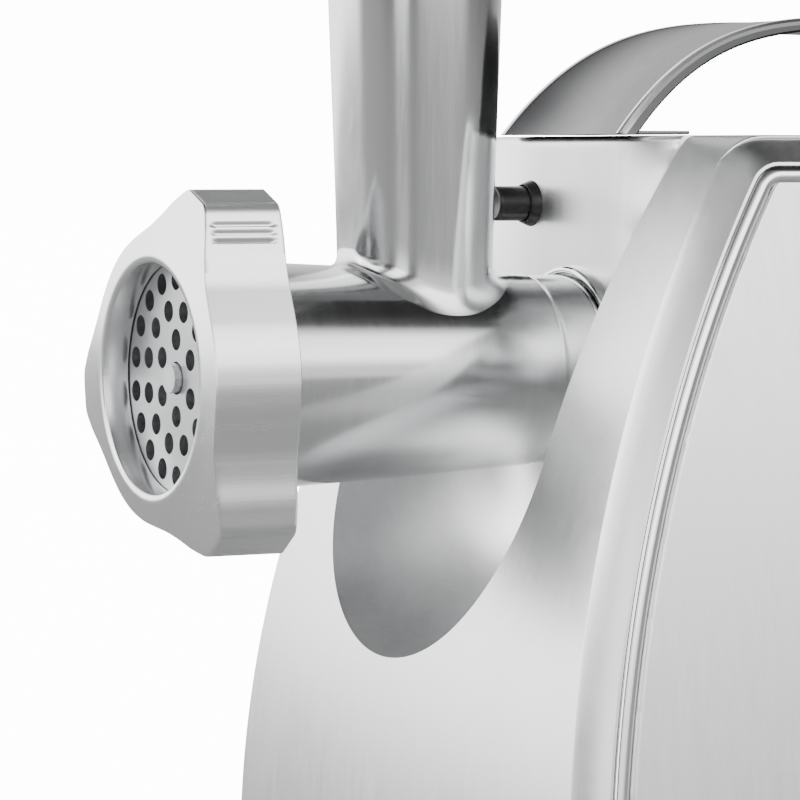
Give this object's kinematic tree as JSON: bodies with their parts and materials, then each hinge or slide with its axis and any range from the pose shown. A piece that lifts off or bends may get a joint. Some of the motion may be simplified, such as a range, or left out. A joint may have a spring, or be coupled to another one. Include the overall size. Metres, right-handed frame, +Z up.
{
  "type": "electric meat grinder",
  "caption": "Countertop electric meat grinder: domed metal housing with strap handle, bayonet head with winged ring nut, hole plate, auger, feed tube, tray and pusher.",
  "frame": {"origin": "on the table, at the middle of the footprint of the whole object's box", "axes": "+Z up; the grinding head points to -Y; +X is the side without controls"},
  "size_m": [0.22, 0.3286, 0.3476],
  "materials": {
    "brushed_shell": "fine brushed, satin",
    "brushed_panel": "vertically brushed, satin",
    "polished_trim": "polished",
    "handle_metal": "brushed strap with polished rims",
    "polished_head": "polished casting with fine lathe lines",
    "ring_metal": "brushed with polished lip",
    "tray_metal": "brushed",
    "cast_aluminium": "as cast, satin",
    "machined_steel": "machined",
    "brass": "machined",
    "copper": null,
    "black_plastic": "satin moulded",
    "grey_plastic": "moulded",
    "rubber": "matt"
  },
  "bodies": {
    "housing": {"front_shell": "brushed_shell", "rear_shell": "brushed_shell", "side_panel_right": "brushed_panel", "side_panel_left": "brushed_panel", "edge_bead_right": "polished_trim", "edge_bead_left": "polished_trim", "base_plate": "grey_plastic", "foot_1": "rubber", "foot_2": "rubber", "foot_3": "rubber", "foot_4": "rubber", "carry_handle": "handle_metal", "handle_bolt_1": "machined_steel", "handle_bolt_2": "machined_steel", "handle_bolt_3": "machined_steel", "handle_bolt_4": "machined_steel", "port_collar": "polished_trim", "bayonet_socket": "machined_steel", "latch_guide": "machined_steel", "latch_spring": "machined_steel", "control_bezel": "black_plastic", "switch_block": "grey_plastic", "gearbox_cover": "cast_aluminium", "gearbox_case": "cast_aluminium", "output_bearing_front": "machined_steel", "output_bearing_rear": "machined_steel", "lay_bush_front": "brass", "lay_bush_rear": "brass", "rotor_bearing_front": "machined_steel", "rotor_bearing_rear": "machined_steel", "motor_stator": "machined_steel", "field_winding": "copper", "brush_holder_1": "brass", "brush_holder_2": "brass", "motor_bracket": "cast_aluminium", "cord_gland": "rubber"},
    "head": {"head_barrel": "polished_head", "feed_tube": "polished_head", "auger_bush": "brass"},
    "plate": {"hole_plate": "machined_steel"},
    "ring": {"ring_nut": "ring_metal"},
    "tray": {"tray": "tray_metal"},
    "pusher": {"pusher": "black_plastic"},
    "drive": {"auger": "cast_aluminium", "knife": "machined_steel", "output_shaft": "machined_steel", "output_gear": "machined_steel"},
    "layshaft": {"layshaft": "machined_steel", "layshaft_pinion": "machined_steel", "layshaft_gear": "brass"},
    "rotor": {"rotor_core": "machined_steel", "commutator": "copper", "rotor_shaft": "machined_steel", "motor_pinion": "machined_steel", "cooling_fan": "grey_plastic"},
    "release": {"release_button": "black_plastic", "latch_pin": "machined_steel"},
    "power": {"power_button": "polished_trim"},
    "reverse": {"reverse_button": "black_plastic"}
  },
  "joints": [
    {"name": "rotor_spin", "type": "hinge", "parent": "housing", "child": "rotor", "pos_m": [0, 0, 0.09], "axis": [0, 1, 0], "continuous": true},
    {"name": "layshaft_spin", "type": "hinge", "parent": "housing", "child": "layshaft", "pos_m": [0, 0, 0.12], "axis": [0, 1, 0], "continuous": true},
    {"name": "drive_spin", "type": "hinge", "parent": "housing", "child": "drive", "pos_m": [0, 0, 0.165], "axis": [0, 1, 0], "continuous": true},
    {"name": "head_twist", "type": "hinge", "parent": "housing", "child": "head", "pos_m": [0, 0, 0.165], "axis": [0, 1, 0], "range_deg": [0, 30]},
    {"name": "plate_slide", "type": "slide", "parent": "head", "child": "plate", "axis": [0, -1, 0], "range_m": [0, 0.0121]},
    {"name": "ring_unscrew", "type": "hinge", "parent": "plate", "child": "ring", "pos_m": [0, 0, 0.165], "axis": [0, -1, 0], "range_deg": [0, 1080]},
    {"name": "tray_lift", "type": "slide", "parent": "head", "child": "tray", "axis": [0, 0, 1], "range_m": [0, 0.06]},
    {"name": "pusher_lift", "type": "slide", "parent": "tray", "child": "pusher", "axis": [0, 0, 1], "range_m": [0, 0.08]},
    {"name": "release_press", "type": "slide", "parent": "housing", "child": "release", "axis": [0, 1, 0], "range_m": [0, 0.004], "stiffness_N_per_m": 500, "springref_m": -0.002, "deforming": ["latch_spring"]},
    {"name": "power_press", "type": "slide", "parent": "housing", "child": "power", "axis": [1, 0, 0], "range_m": [0, 0.002], "stiffness_N_per_m": 600, "springref_m": -0.001},
    {"name": "reverse_press", "type": "slide", "parent": "housing", "child": "reverse", "axis": [1, 0, 0], "range_m": [0, 0.002], "stiffness_N_per_m": 600, "springref_m": -0.001}
  ],
  "couplings": [
    {"joint": "layshaft_spin", "follows": "rotor_spin", "ratio": -0.33333},
    {"joint": "drive_spin", "follows": "rotor_spin", "ratio": 0.11111},
    {"joint": "plate_slide", "follows": "ring_unscrew", "m_per_rad": 0.00063662}
  ]
}
